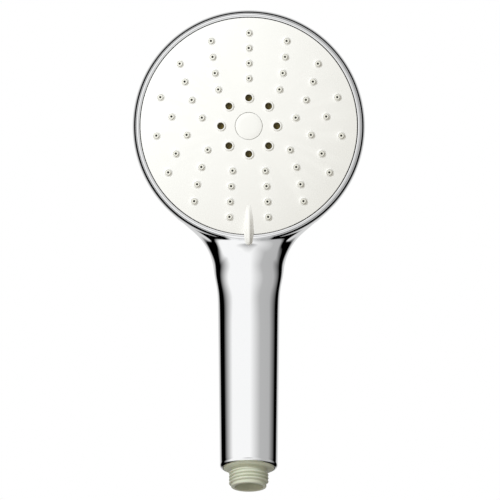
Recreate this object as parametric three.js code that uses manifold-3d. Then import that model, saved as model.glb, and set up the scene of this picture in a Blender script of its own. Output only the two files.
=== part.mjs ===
// Handheld shower head: chromed body with a turning spray face, built as the real one is assembled.
// Millimetres, +Z up along the handle. The hose end is at the origin and the face looks to -Y, tilted down.
import * as THREE from 'three';
import { mergeVertices } from 'three/addons/utils/BufferGeometryUtils.js';
import Module from 'manifold-3d';

// ---- Driving dimensions ----
const TILT = 20 * Math.PI / 180;              // face plane against the handle's axis
const FACE_CENTRE = new THREE.Vector3(0, -39.4, 190.2);
const GAP = 0.3;                              // running and assembly clearance

const HEAD_R = 62.5;                          // widest radius of the head
const HEAD_DEPTH = 28;                        // bezel plane to the top of the dome
const SHOULDER_DEPTH = 8;                     // where the head is widest
const WALL = 2.2;                             // shell wall
const DISC_SEGMENTS = 48;                     // facets round the large circles
const DISC_R = 58.3;
const DISC_FRONT = 0.4;                       // the disc sits this far behind the ring's front
const RIM_DEPTH = 0.9;                        // the shell's rim, just behind the ring's lip
const DISC_BACK = 2.6;

const JET_RING = { radius: 15.1, count: 8 };  // large centre bores
const RAIN_RINGS = [
  { radius: 25.6, count: 9 },
  { radius: 33.75, count: 11 },
  { radius: 41.9, count: 13 },
  { radius: 50.0, count: 15 },
];
const JET_BORE_R = 1.875;
const JET_RIM_R = 2.65;
const NUB_R = 1.35;
const NUB_HOLE_R = 0.5;
const CAP_R = 7.15;

const FIN_START = 42;                         // lever fin, radii from the face centre
const FIN_TIP = 63.4;

const HANDLE_R = 15.3;                        // at the hose end
const THREAD_R = 10.478;                      // G 1/2: 20.955 mm over the crests
const THREAD_ROOT_R = 9.315;
const THREAD_PITCH = 1.814;
const INLET_R = 7.5;
const COLLAR_R = 13.4;
const SPIGOT_END_Z = 57;
const SOCKET_R = 5.9;                         // the two tube sockets
const TUBE_R = 5.6;
const TUBE_BORE_R = 4.0;

const PORT_RADIUS = 24;                       // ports and detent notches lie on this circle
const MODE_STEP = Math.PI / 6;                // 30 degrees between settings
const POST_R = 3.2;

// ---- Geometry helpers ----
const wasm = await Module();
wasm.setup();

const V = (x, y, z) => new THREE.Vector3(x, y, z);
const UP = V(0, -Math.sin(TILT), Math.cos(TILT));
const NORMAL = V(0, -Math.cos(TILT), -Math.sin(TILT));
const HEAD = new THREE.Matrix4().makeBasis(V(1, 0, 0), UP, NORMAL).setPosition(FACE_CENTRE);

// Turns a closed geometry into a solid for the boolean steps.
function solid(geometry) {
  geometry.deleteAttribute('normal');
  geometry.deleteAttribute('uv');
  const merged = mergeVertices(geometry, 1e-4);
  const position = merged.attributes.position;
  const tris = [];
  for (let i = 0; i < merged.index.count; i += 3) {
    const [a, b, c] = [0, 1, 2].map((k) => merged.index.getX(i + k));
    if (a !== b && b !== c && c !== a) tris.push(a, b, c);
  }
  const corner = (k) => V().fromBufferAttribute(position, k);
  let volume = 0;
  for (let i = 0; i < tris.length; i += 3) {
    volume += corner(tris[i]).dot(corner(tris[i + 1]).cross(corner(tris[i + 2])));
  }
  if (volume < 0) tris.reverse();
  return new wasm.Manifold(new wasm.Mesh({
    numProp: 3,
    vertProperties: new Float32Array(position.array),
    triVerts: new Uint32Array(tris),
  }));
}

// A body turned about +Z from [radius, z] points. The profile ends on the axis or closes on itself.
function turned(profile, segments = 32) {
  const points = profile.map(([r, z]) => new THREE.Vector2(r, z));
  return solid(new THREE.LatheGeometry(points, segments).rotateX(Math.PI / 2));
}

function rod(radius, z0, z1, segments = 24) {
  return turned([[0, z0], [radius, z0], [radius, z1], [0, z1]], segments);
}

function sleeve(inner, outer, z0, z1, segments = 32) {
  return turned([[inner, z0], [outer, z0], [outer, z1], [inner, z1], [inner, z0]], segments);
}

function torus(radius, tube, z, segments = 18) {
  return solid(new THREE.TorusGeometry(radius, tube, 6, segments).translate(0, 0, z));
}

function block(width, height, depth, x, y, z) {
  return solid(new THREE.BoxGeometry(width, height, depth).translate(x, y, z));
}

// A body through matching rings of points, closed at both ends.
function loft(rings) {
  const count = rings[0].length;
  const points = rings.flat();
  const index = [];
  for (let i = 0; i + 1 < rings.length; i++) {
    for (let j = 0; j < count; j++) {
      const k = (j + 1) % count;
      const [a, b, c, d] = [i * count + j, i * count + k, (i + 1) * count + j, (i + 1) * count + k];
      index.push(a, b, c, b, d, c);
    }
  }
  const ends = [[rings[0], 0, true], [rings.at(-1), (rings.length - 1) * count, false]];
  for (const [ring, start, flip] of ends) {
    const centre = ring.reduce((sum, p) => sum.add(p), V(0, 0, 0)).divideScalar(count);
    const c = points.push(centre) - 1;
    for (let j = 0; j < count; j++) {
      const pair = [start + j, start + (j + 1) % count];
      if (flip) pair.reverse();
      index.push(c, ...pair);
    }
  }
  return solid(new THREE.BufferGeometry().setFromPoints(points).setIndex(index));
}

// A round wire wound about +Z.
function coil(radius, wire, z0, z1, turns) {
  const steps = Math.round(turns * 8);
  const curve = new THREE.CatmullRomCurve3(Array.from({ length: steps + 1 }, (_, i) => {
    const angle = 2 * Math.PI * turns * i / steps;
    return V(radius * Math.cos(angle), radius * Math.sin(angle), z0 + (z1 - z0) * i / steps);
  }));
  const section = new THREE.Shape(Array.from({ length: 5 }, (_, i) => (
    new THREE.Vector2(...polar(wire, 2 * Math.PI * i / 5)))));
  return solid(new THREE.ExtrudeGeometry(section, { steps, extrudePath: curve, bevelEnabled: false }));
}

const move = (body, x, y, z) => body.translate([x, y, z]);
const polar = (radius, angle) => [radius * Math.cos(angle), radius * Math.sin(angle)];

// One copy of a body at every place of a ring, the first at 12 o'clock.
function ringOf(body, { radius, count }, first = Math.PI / 2) {
  const copies = [];
  for (let i = 0; i < count; i++) {
    const [x, y] = polar(radius, first + 2 * Math.PI * i / count);
    copies.push(move(body, x, y, 0));
  }
  return wasm.Manifold.union(copies);
}

const group = new THREE.Group();
group.name = 'shower_head';

const FINISH = {
  chrome: { color: 0xd9dbdd, roughness: 0.06, metalness: 1 },
  white_abs: { color: 0xf4f4f2, roughness: 0.3, metalness: 0 },
  silicone: { color: 0xeeebde, roughness: 0.55, metalness: 0 },
  connector_plastic: { color: 0xd9dccb, roughness: 0.4, metalness: 0 },
  olive_plastic: { color: 0x4a4326, roughness: 0.5, metalness: 0 },
  acetal: { color: 0xe3e3dc, roughness: 0.45, metalness: 0 },
  rubber: { color: 0x1c1c1d, roughness: 0.7, metalness: 0 },
  steel: { color: 0xb9bcc0, roughness: 0.25, metalness: 1 },
};

// Adds one finished body. Parts of the head are drawn on the face plane and then set at its tilt.
function add(name, finish, body, place = null) {
  const raw = body.getMesh();
  const geometry = new THREE.BufferGeometry();
  geometry.setAttribute('position', new THREE.BufferAttribute(new Float32Array(raw.vertProperties), 3));
  geometry.setIndex(new THREE.BufferAttribute(new Uint32Array(raw.triVerts), 1));
  if (place) geometry.applyMatrix4(place);
  geometry.computeVertexNormals();
  const material = new THREE.MeshStandardMaterial(FINISH[finish]);
  material.name = finish;
  const mesh = new THREE.Mesh(geometry, material);
  mesh.name = name;
  group.add(mesh);
}

// ---- The body's centre line and section ----
// Places along the centre line, in the face plane's terms: distance up the face, and depth behind it.
function facePoint(up, depth) {
  return FACE_CENTRE.clone().addScaledVector(UP, up).addScaledVector(NORMAL, -depth);
}

const smooth = (t) => t * t * (3 - 2 * t);
const clamp01 = (t) => Math.min(1, Math.max(0, t));

function bezier(t, p0, p1, p2) {
  const s = 1 - t;
  return p0.map((_, i) => s * s * p0[i] + 2 * s * t * p1[i] + t * t * p2[i]);
}

// The fillets each side of the neck, where it flares into the head's rim:
// [distance up the face, depth, half width, half depth].
const FLARE = [
  [-92, 9.2, 15.4, 12.5],
  [-83, 11.0, 16.9, 11.5],
  [-77, 11.6, 18.2, 10.4],
  [-71, 11.6, 20.4, 9.2],
  [-65, 11.2, 23.8, 8.0],
  [-59, 10.6, 28.6, 6.9],
  [-53, 10.0, 34.4, 6.0],
  [-47, 9.4, 40.6, 5.2],
  [-42, 9.0, 40.0, 4.6],
];

// The handle is round and the neck flatter, so that it tucks in behind the ring.
function halfDepth(up) {
  return 16.75 - 3.4 * smooth(clamp01((up + 98) / 34)) - 2.6 * smooth(clamp01((up + 40) / 30));
}

function halfWidth(up) {
  return 16.7 + 3.3 * smooth(clamp01((up + 90) / 30)) - 6 * smooth(clamp01((up + 50) / 40));
}

// Stations from the hose end to inside the dome: centre, direction, half width, half depth.
function stations() {
  const list = [];
  for (const z of [14, 40, 70, 96]) {
    const radius = HANDLE_R + 1.3 * (z - 12) / 84;
    list.push({ centre: V(0, 0, z), along: V(0, 0, 1), a: radius, b: radius });
  }
  for (let i = 0; i <= 5; i++) {
    const t = i / 5;
    const [u, d] = bezier(t, [-88, 9.9], [-72.6, 14.4], [-57, 14.4]);
    const [du, dd] = [15.4 + t * 0.2, 4.5 * (1 - t)];
    const along = UP.clone().multiplyScalar(du).addScaledVector(NORMAL, -dd).normalize();
    list.push({ centre: facePoint(u, d), along, a: halfWidth(u), b: halfDepth(u) });
  }
  for (const u of [-46, -34, -22, -10]) {
    list.push({ centre: facePoint(u, 14.4), along: UP.clone(), a: halfWidth(u), b: halfDepth(u) });
  }
  return list;
}

// The swept neck and handle with their flare, thinned all round by an offset.
function neckBody(offset, segments = 20) {
  const flare = FLARE.map(([u, d, a, b]) => ({ centre: facePoint(u, d), along: UP.clone(), a, b }));
  return oval(stations(), offset, segments).add(oval(flare, offset, segments));
}

function oval(places, offset, segments) {
  const rings = places.map(({ centre, along, a, b }) => {
    const back = V(1, 0, 0).cross(along).normalize();
    return Array.from({ length: segments }, (_, j) => {
      const angle = 2 * Math.PI * j / segments;
      return centre.clone()
        .addScaledVector(V(1, 0, 0), (a - offset) * Math.cos(angle))
        .addScaledVector(back, (b - offset) * Math.sin(angle));
    });
  });
  return loft(rings);
}

// The dome's [radius, z] profile on the face plane, from the rim to the top of its back.
function domeProfile(offset, front) {
  const points = [[0, -front], [60.95 - offset, -front], [61.75 - offset, -3.2], [62.3 - offset, -5.5]];
  for (let i = 0; i <= 6; i++) {
    const angle = Math.PI / 2 * i / 6;
    const reach = HEAD_DEPTH - SHOULDER_DEPTH - offset;
    points.push([(HEAD_R - offset) * Math.cos(angle), -SHOULDER_DEPTH - reach * Math.sin(angle)]);
  }
  points[points.length - 1][0] = 0;
  return points;
}

// ---- Shell and trim ----
const BOSS_ANGLES = [45, 135, 225, 315].map((a) => a * Math.PI / 180);
const BOSS_RADIUS = 30;

function outerShell() {
  const end = turned([[0, 10.3], [13.9, 10.3], [14.75, 10.65], [15.2, 11.3], [15.33, 12.2], [15.33, 14],
    [0, 14]], 20);
  const dome = turned(domeProfile(0, RIM_DEPTH), DISC_SEGMENTS).transform(HEAD.toArray());
  let hollow = turned(domeProfile(WALL, 7.2), DISC_SEGMENTS)
    .add(rod(60.1, -7.4, 2, DISC_SEGMENTS));
  const bosses = BOSS_ANGLES.map((angle) => move(rod(3.4, -24.2, -16.9, 12), ...polar(BOSS_RADIUS, angle), 0));
  const pilots = BOSS_ANGLES.map((angle) => move(rod(1.6, -21.6, -16, 8), ...polar(BOSS_RADIUS, angle), 0));
  const counterbore = rod(13.75, 9, 15.3, 20);
  hollow = hollow.transform(HEAD.toArray())
    .add(neckBody(WALL))
    .add(rod(13.1, 9, 16, 20))
    .add(counterbore);
  return dome.add(neckBody(0)).add(end).subtract(hollow)
    .add(wasm.Manifold.union(bosses).transform(HEAD.toArray()))
    .subtract(wasm.Manifold.union(pilots).transform(HEAD.toArray()));
}

// The trim ring snaps inside the shell's rim with a skirt, and its rounded lip hides the joint.
function frontRing() {
  return turned([[58.75, -6.6], [58.75, -0.4], [59.1, 0], [59.7, -0.05], [60.35, -0.3], [60.6, -0.6],
    [59.8, -0.6], [59.8, -6.6], [58.75, -6.6]], DISC_SEGMENTS);
}

// ---- Turning spray face ----
// Cross-sections of the fin: [radius, crest height, base half width, crest half width].
const FIN_SECTIONS = [
  [FIN_START, -0.35, 1.9, 0.6],
  [47, 0.6, 3.2, 0.9],
  [52, 1.9, 3.5, 1.1],
  [56, 2.9, 3.2, 1.2],
  [60, 3.2, 2.7, 1.2],
  [62.4, 2.7, 2.4, 1.1],
  [FIN_TIP - 0.2, 1.8, 1.9, 0.9],
  [FIN_TIP, 1.4, 1.6, 0.8],
];

function fin() {
  const rings = FIN_SECTIONS.map(([radius, top, base, crest]) => {
    const mid = -0.4 + 0.6 * (top + 0.4);
    const wide = crest + 0.55 * (base - crest);
    return [V(-base, -radius, -1.4), V(base, -radius, -1.4), V(base, -radius, -0.3), V(wide, -radius, mid),
      V(crest, -radius, top - 0.15), V(0, -radius, top), V(-crest, -radius, top - 0.15),
      V(-wide, -radius, mid), V(-base, -radius, -0.3)];
  });
  return loft(rings).subtract(sleeve(58.2, 70, -4, 0.4, DISC_SEGMENTS));
}

function sprayFace() {
  const jetRim = [[0, -1], [JET_RIM_R, -1], [JET_RIM_R, 0], [JET_RIM_R - 0.3, 0.3], [0, 0.3]];
  let body = rod(DISC_R, -DISC_BACK, -DISC_FRONT, DISC_SEGMENTS)
    .add(sleeve(56.9, DISC_R, -8.2, -2, DISC_SEGMENTS))
    .add(sleeve(18.7, 20.4, -5.9, -2, 36))
    .add(rod(5.4, -7.3, -2, 28))
    .add(ringOf(turned(jetRim, 10), JET_RING))
    .add(fin());
  body = body
    .subtract(rod(CAP_R + GAP, -1.4, 1, 24))
    .subtract(rod(3.4, -3.5, 1, 20))
    .subtract(rod(1.7, -6, 1, 16))
    .subtract(rod(POST_R + GAP, -9, -4.7, 24))
    .subtract(ringOf(rod(JET_BORE_R, -4, 2, 10), JET_RING));
  for (const ring of RAIN_RINGS) body = body.subtract(ringOf(rod(NUB_R + GAP, -4, 2, 6), ring));
  return body;
}

function centreCap() {
  const edge = [[CAP_R - 0.2, -1.1], [CAP_R, -0.9], [CAP_R, -0.5], [CAP_R - 0.3, -0.25]];
  return turned([[0, -1.1], ...edge, [0, -0.1]], 24);
}

function nozzleMat() {
  const nub = turned([[0, -4], [NUB_R, -4], [NUB_R - 0.2, 1.1], [0, 1.1]], 6);
  let sheet = sleeve(21, 56.4, -4.4, -2.9, 40);
  for (const ring of RAIN_RINGS) sheet = sheet.add(ringOf(nub, ring));
  for (const ring of RAIN_RINGS) sheet = sheet.subtract(ringOf(rod(NUB_HOLE_R, -6, 2, 4), ring));
  return sheet;
}

// Three settings: the centre pocket, the ring through a hole in the floor, or both.
function chamberPlate() {
  let body = rod(56.4, -8.2, -6.2, 40)
    .add(rod(28.6, -12.3, -6.2, 32))
    .subtract(rod(18.7, -9.8, -5, 32))
    .subtract(rod(POST_R + 2 * GAP, -13, -9, 24));
  for (const mode of [-1, 0, 1]) {
    const angle = -Math.PI / 2 + mode * MODE_STEP;
    const depth = mode === 1 ? -8.6 : -5;
    body = body.subtract(move(rod(2.5, -13, depth, 12), ...polar(PORT_RADIUS, angle), 0));
    const notch = move(rod(1.5, -13, -11.4, 10), ...polar(PORT_RADIUS, angle + Math.PI), 0);
    body = body.subtract(notch);
    if (mode !== -1) {
      const slot = block(10, 4, 1.2, 21, 0, -9.2).rotate([0, 0, angle * 180 / Math.PI]);
      body = body.subtract(slot);
    }
  }
  return body;
}

function swirlPlate() {
  const jet = block(5.4, 1.5, 6, 0, 0, 0).rotate([40, 0, 0]);
  let body = rod(18.3, -9.4, -7.6, 36).subtract(rod(POST_R + 2 * GAP, -11, -6, 24));
  for (let i = 0; i < 6; i++) {
    body = body.subtract(move(jet, 13.2, 0, -8.5).rotate([0, 0, i * 60]));
  }
  return body;
}

// A bladed wheel. Its slotted front opens and closes the large bores as it spins.
function turbine() {
  let body = sleeve(5.8, 7.4, -7.1, -3.1, 20)
    .add(sleeve(7, 17.4, -4.0, -3.1, 32))
    .add(sleeve(15.9, 17.4, -5.2, -3.1, 32));
  const slot = block(2.9, 2.9, 3, 0, 0, -3.6);
  for (let i = 0; i < JET_RING.count; i++) {
    body = body.subtract(move(slot, 14.3, 0, 0).rotate([0, 0, (i + 0.5) * 360 / JET_RING.count]));
  }
  for (let i = 0; i < 6; i++) {
    body = body.add(block(9.2, 1.0, 3.6, 11.6, 0, -5.3).rotate([0, 0, i * 60]));
  }
  return body;
}

const centreScrew = () => turned([[0, -12], [1.3, -12], [1.3, -2.4], [2.9, -2.4], [2.9, -1.9], [2.3, -1.65],
  [0, -1.65]], 12).subtract(block(4.2, 0.8, 1, 0, 0, -1.7)).subtract(block(0.8, 4.2, 1, 0, 0, -1.7));
const screwWasher = () => sleeve(1.6, 3.1, -3.2, -2.7, 14);

// ---- Fixed stator ----
function valveBody() {
  const toUp = (body) => body.rotate([90, 0, 0]);          // +Z becomes -Y, down the handle
  const socket = move(toUp(rod(7.4, 8, 46, 20)), 0, 0, -16).subtract(rod(29, -12.7, -5, 32));
  const port = move(rod(5.2, -16, -12.8, 18), 0, -PORT_RADIUS, 0);
  const detent = move(rod(4, -21, -13, 16), 0, PORT_RADIUS, 0);
  const arms = BOSS_ANGLES.map((angle) => block(34, 8, 2.2, 15, 0, -15.5).rotate([0, 0, angle * 180 / Math.PI]));
  const ears = BOSS_ANGLES.map((angle) => move(rod(4.2, -16.6, -14.4, 14), ...polar(BOSS_RADIUS, angle), 0));
  const holes = BOSS_ANGLES.map((angle) => move(rod(1.6, -20, -10, 12), ...polar(BOSS_RADIUS, angle), 0));
  return rod(9, -17.5, -12.8, 24)
    .add(rod(POST_R, -14, -5.0, 24))
    .add(socket)
    .add(port)
    .add(detent)
    .add(block(8, 24, 2.2, 0, 12, -15.5))
    .add(wasm.Manifold.union(arms))
    .add(wasm.Manifold.union(ears))
    .subtract(wasm.Manifold.union(holes))
    .subtract(move(toUp(rod(SOCKET_R, 31, 47, 20)), 0, 0, -16))
    .subtract(move(toUp(rod(3, 20.4, 32, 14)), 0, 0, -16.4))
    .subtract(move(rod(3.4, -19.4, -12, 16), 0, -PORT_RADIUS, 0))
    .subtract(move(rod(2.1, -20, -12, 16), 0, PORT_RADIUS, 0))
    .subtract(rod(1.6, -12.4, -4, 16));
}

function valveScrew(angle) {
  const head = [[1.3, -14.1], [2.6, -14.1], [2.6, -12.9], [2.2, -12.6], [0, -12.6]];
  const body = turned([[0, -21], [1.3, -21], ...head], 10)
    .subtract(block(3.8, 0.7, 1.2, 0, 0, -12.7));
  return move(body, ...polar(BOSS_RADIUS, angle), 0);
}

const portSeal = () => move(turned([[1.9, -15], [3.1, -15], [3.1, -13], [2.8, -12.6], [1.9, -12.6], [1.9, -15]], 20),
  0, -PORT_RADIUS, 0);
const portSealSpring = () => move(coil(2.4, 0.3, -19.0, -15.5, 3), 0, -PORT_RADIUS, 0);
const detentPlunger = () => move(turned([[0, -16], [1.8, -16], [1.8, -13.6], [1.3, -12.9], [0, -12.6]], 16),
  0, PORT_RADIUS, 0);
const detentSpring = () => move(coil(1.35, 0.25, -19.6, -16.4, 3), 0, PORT_RADIUS, 0);

// ---- Waterway ----
function tubeLine() {
  const points = [V(0, 0, 45.5), V(0, 0, 58), V(0, 0, 74), V(0, 0, 92), V(0, 0.1, 104)];
  for (const t of [0.2, 0.4, 0.6, 0.8]) {
    points.push(facePoint(...bezier(t, [-88, 9.9], [-70, 16], [-50, 16])));
  }
  points.push(facePoint(-50, 16), facePoint(-42, 16), facePoint(-32, 16));
  return new THREE.CatmullRomCurve3(points);
}

function tubeSweep(radius, segments) {
  const section = new THREE.Shape(Array.from({ length: segments }, (_, i) => (
    new THREE.Vector2(...polar(radius, 2 * Math.PI * i / segments)))));
  const path = { steps: 16, extrudePath: tubeLine(), bevelEnabled: false };
  return solid(new THREE.ExtrudeGeometry(section, path));
}

// An O-ring groove turned into the tube, and the ring that lies in it.
const GROOVE_FLOOR_R = 4.8;
const RING_PLACES = {
  lower: new THREE.Matrix4().makeTranslation(0, 0, 51),
  upper: HEAD.clone().multiply(new THREE.Matrix4().makeTranslation(0, -38, -16))
    .multiply(new THREE.Matrix4().makeRotationX(Math.PI / 2)),
};

function waterwayTube() {
  const outside = tubeSweep(TUBE_R, 16);
  const grooves = Object.values(RING_PLACES).map((place) => (
    sleeve(GROOVE_FLOOR_R, 8, -0.75, 0.75, 16).transform(place.toArray())));
  return outside.subtract(tubeSweep(TUBE_BORE_R, 10)).subtract(wasm.Manifold.union(grooves));
}

const tubeRing = () => torus(5.38, 0.36, 0, 16);

// ---- Hose connector and its cartridges ----
// The ridge climbs one pitch a turn. The ends are trimmed flat by the blank.
function thread() {
  const around = 24;
  const rings = [];
  for (let z = -0.3; z < 9.8; z += THREAD_PITCH / 4) {
    rings.push(Array.from({ length: around }, (_, j) => {
      const phase = (z / THREAD_PITCH - j / around + 20) % 1;
      const ridge = clamp01(1.6 - 1.5 * Math.abs(2 * phase - 1) - 0.3);
      const [x, y] = polar(THREAD_ROOT_R + (THREAD_R - THREAD_ROOT_R) * ridge, 2 * Math.PI * j / around);
      return V(x, y, z);
    }));
  }
  return loft(rings);
}

function hoseConnector() {
  const crest = [[9.7, 0], [THREAD_R, 0.8], [THREAD_R, 8.7], [THREAD_ROOT_R, 9.4]];
  const blank = turned([[0, 0], ...crest, [0, 9.4]], 24);
  const core = rod(THREAD_ROOT_R, 0.2, 10.2, 24);
  const threaded = thread().intersect(blank);
  const body = turned([[0, 10.0], [13.0, 10.0], [COLLAR_R, 10.4], [COLLAR_R, 15.0], [12.7, 15.0], [12.7, 21],
    [10.4, 23], [10.4, 41], [8.6, 43], [8.6, SPIGOT_END_Z], [0, SPIGOT_END_Z]], 24);
  const bore = turned([[0, -1], [INLET_R, -1], [INLET_R, 38], [4.2, 40], [4.2, 43.5], [SOCKET_R, 45.2],
    [SOCKET_R, 60], [0, 60]], 24);
  return threaded.add(core).add(body).subtract(bore);
}

function filterScreen() {
  let body = sleeve(6.2, 7.2, 11.0, 12.2, 20);
  for (const place of [-3.2, 0, 3.2]) {
    const chord = 2 * Math.sqrt(6.8 ** 2 - place ** 2);
    body = body.add(block(0.7, chord, 0.6, place, 0, 11.5)).add(block(chord, 0.7, 0.6, 0, place, 11.5));
  }
  return body;
}

function flowRegulatorBody() {
  const holes = { radius: 4.1, count: 8 };
  return rod(7.2, 13, 14.6, 20)
    .add(sleeve(6.3, 7.2, 14, 19, 20))
    .add(turned([[0, 14], [2.2, 14], [2.2, 17.4], [1.4, 18.4], [0, 18.4]], 14))
    .subtract(ringOf(rod(0.9, 12, 16, 8), holes));
}

const flowRegulatorRing = () => torus(4.1, 1.1, 16.2);

function checkValveBody() {
  let body = turned([[3.4, 22], [7.2, 22], [7.2, 28], [6.2, 28], [6.2, 29.6], [7.2, 29.6], [7.2, 36.5],
    [5.2, 36.5], [5.2, 24], [4.2, 23.2], [3.4, 23.2], [3.4, 22]], 20).add(sleeve(1.6, 2.8, 33, 36.5, 10));
  for (let i = 0; i < 3; i++) {
    body = body.add(block(3.4, 1.0, 2.4, 4.1, 0, 35.3).rotate([0, 0, i * 120]));
  }
  return body;
}

const checkPoppet = () => turned([[0, 23.5], [3.6, 23.5], [4.5, 24.4], [4.5, 25.4], [1.25, 26.2], [1.25, 35.5],
  [0, 35.5]], 16);
const checkValveSpring = () => coil(2.2, 0.28, 26.6, 32.6, 4);
const checkValveRing = () => torus(6.82, 0.34, 28.8);

// ---- Assembly ----
add('outer_shell', 'chrome', outerShell());
add('front_ring', 'chrome', frontRing(), HEAD);
add('spray_face', 'white_abs', sprayFace(), HEAD);
add('nozzle_mat', 'silicone', nozzleMat(), HEAD);
add('centre_cap', 'white_abs', centreCap(), HEAD);
add('centre_screw', 'steel', centreScrew(), HEAD);
add('screw_washer', 'steel', screwWasher(), HEAD);
add('turbine', 'olive_plastic', turbine(), HEAD);
add('swirl_plate', 'olive_plastic', swirlPlate(), HEAD);
add('chamber_plate', 'acetal', chamberPlate(), HEAD);
add('valve_body', 'acetal', valveBody(), HEAD);
BOSS_ANGLES.forEach((angle, i) => add(`valve_screw_${'abcd'[i]}`, 'steel', valveScrew(angle), HEAD));
add('port_seal', 'rubber', portSeal(), HEAD);
add('port_seal_spring', 'steel', portSealSpring(), HEAD);
add('detent_plunger', 'acetal', detentPlunger(), HEAD);
add('detent_spring', 'steel', detentSpring(), HEAD);
add('waterway_tube', 'acetal', waterwayTube());
add('tube_o_ring_lower', 'rubber', tubeRing(), RING_PLACES.lower);
add('tube_o_ring_upper', 'rubber', tubeRing(), RING_PLACES.upper);
add('hose_connector', 'connector_plastic', hoseConnector());
add('filter_screen', 'steel', filterScreen());
add('flow_regulator_body', 'acetal', flowRegulatorBody());
add('flow_regulator_ring', 'rubber', flowRegulatorRing());
add('check_valve_body', 'acetal', checkValveBody());
add('check_poppet', 'acetal', checkPoppet());
add('check_valve_spring', 'steel', checkValveSpring());
add('check_valve_o_ring', 'rubber', checkValveRing());

export default group;
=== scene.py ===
# %% [markdown]
# # Handheld shower head
# The look of a chromed hand shower with a turning white spray face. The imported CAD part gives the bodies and
# joints, and the visible pieces are modelled again here at full detail, in the same frame, in metres.

# %% Start
import math
import bpy
import numpy as np
from mathutils import Matrix, Vector


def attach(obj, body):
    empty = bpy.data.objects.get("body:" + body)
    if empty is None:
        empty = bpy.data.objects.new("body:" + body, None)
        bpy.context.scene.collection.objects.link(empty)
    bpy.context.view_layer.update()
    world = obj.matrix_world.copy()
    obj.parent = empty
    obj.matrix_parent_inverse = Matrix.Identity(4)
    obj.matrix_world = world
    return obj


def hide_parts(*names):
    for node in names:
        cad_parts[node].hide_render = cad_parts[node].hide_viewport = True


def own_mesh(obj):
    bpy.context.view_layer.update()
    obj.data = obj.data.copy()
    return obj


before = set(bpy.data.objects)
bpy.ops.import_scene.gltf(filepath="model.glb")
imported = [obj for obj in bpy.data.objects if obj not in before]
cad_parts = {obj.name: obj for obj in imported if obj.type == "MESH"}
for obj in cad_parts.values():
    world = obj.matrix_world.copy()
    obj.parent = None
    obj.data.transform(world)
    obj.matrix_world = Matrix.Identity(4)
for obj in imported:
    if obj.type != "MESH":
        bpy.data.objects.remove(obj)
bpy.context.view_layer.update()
bpy.ops.object.select_all(action="DESELECT")

# %% [markdown]
# ## Measures
# The sizes are in millimetres, as on a drawing, and each finished piece is brought to metres as it is placed.
# The head's pieces are drawn on the face plane, +Z out of the face, and then set at its 20 degree tilt.

# %% Measures
TILT = math.radians(20)
C = np.array([0.0, -39.4, 190.2])
UP = np.array([0.0, -math.sin(TILT), math.cos(TILT)])
OUT = np.array([0.0, -math.cos(TILT), -math.sin(TILT)])
MM = Matrix.Scale(0.001, 4)
HEAD = MM @ Matrix.Translation(Vector(C)) @ Matrix((
    (1, 0, 0, 0), (0, UP[1], OUT[1], 0), (0, UP[2], OUT[2], 0), (0, 0, 0, 1)))

JET_RING = (15.1, 8)
RAIN_RINGS = ((25.6, 9), (33.75, 11), (41.9, 13), (50.0, 15))
HEAD_R = 62.75
THREAD_R, ROOT_R, PITCH = 10.478, 9.315, 1.814

# %% [markdown]
# ## Finishes
# Each finish is a small node tree on the shader's own sockets, with faint wear and moulding grain read from
# Object coordinates, so that it stays put on the piece. Image textures were not needed: the real pieces are
# plated or moulded in one colour, and only their gloss and grain vary.

# %% Finishes


def finish(name, colour, rough, metal=0.0, grain=0.0, grain_scale=900.0, tint=0.0, rough_spread=0.0,
           subsurface=0.0, blotch_scale=45.0):
    """A shader with blotchy gloss, a slight tint shift and a fine bump."""
    mat = bpy.data.materials.new(name)
    mat.use_nodes = True
    nodes, links = mat.node_tree.nodes, mat.node_tree.links
    shader = nodes["Principled BSDF"]
    shader.inputs["Base Color"].default_value = (*colour, 1)
    shader.inputs["Roughness"].default_value = rough
    shader.inputs["Metallic"].default_value = metal
    if subsurface:
        shader.inputs["Subsurface Weight"].default_value = subsurface
        shader.inputs["Subsurface Scale"].default_value = 0.001
    where = nodes.new("ShaderNodeTexCoord")
    blotch = nodes.new("ShaderNodeTexNoise")
    blotch.inputs["Scale"].default_value = blotch_scale
    blotch.inputs["Detail"].default_value = 6.0
    links.new(where.outputs["Object"], blotch.inputs["Vector"])
    gloss = nodes.new("ShaderNodeMapRange")
    gloss.inputs["From Min"].default_value = 0.3
    gloss.inputs["From Max"].default_value = 0.7
    gloss.inputs["To Min"].default_value = max(0.0, rough - rough_spread)
    gloss.inputs["To Max"].default_value = rough + rough_spread
    links.new(blotch.outputs["Fac"], gloss.inputs["Value"])
    links.new(gloss.outputs["Result"], shader.inputs["Roughness"])
    if tint:
        blend = nodes.new("ShaderNodeMix")
        blend.data_type = "RGBA"
        blend.inputs["A"].default_value = (*[c * (1 - tint) for c in colour], 1)
        blend.inputs["B"].default_value = (*[min(1, c * (1 + tint * 0.5)) for c in colour], 1)
        links.new(blotch.outputs["Fac"], blend.inputs["Factor"])
        links.new(blend.outputs["Result"], shader.inputs["Base Color"])
    if grain:
        fine = nodes.new("ShaderNodeTexNoise")
        fine.inputs["Scale"].default_value = grain_scale
        fine.inputs["Detail"].default_value = 4.0
        links.new(where.outputs["Object"], fine.inputs["Vector"])
        bump = nodes.new("ShaderNodeBump")
        bump.inputs["Strength"].default_value = grain
        bump.inputs["Distance"].default_value = 0.0001
        links.new(fine.outputs["Fac"], bump.inputs["Height"])
        links.new(bump.outputs["Normal"], shader.inputs["Normal"])
    return mat


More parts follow.
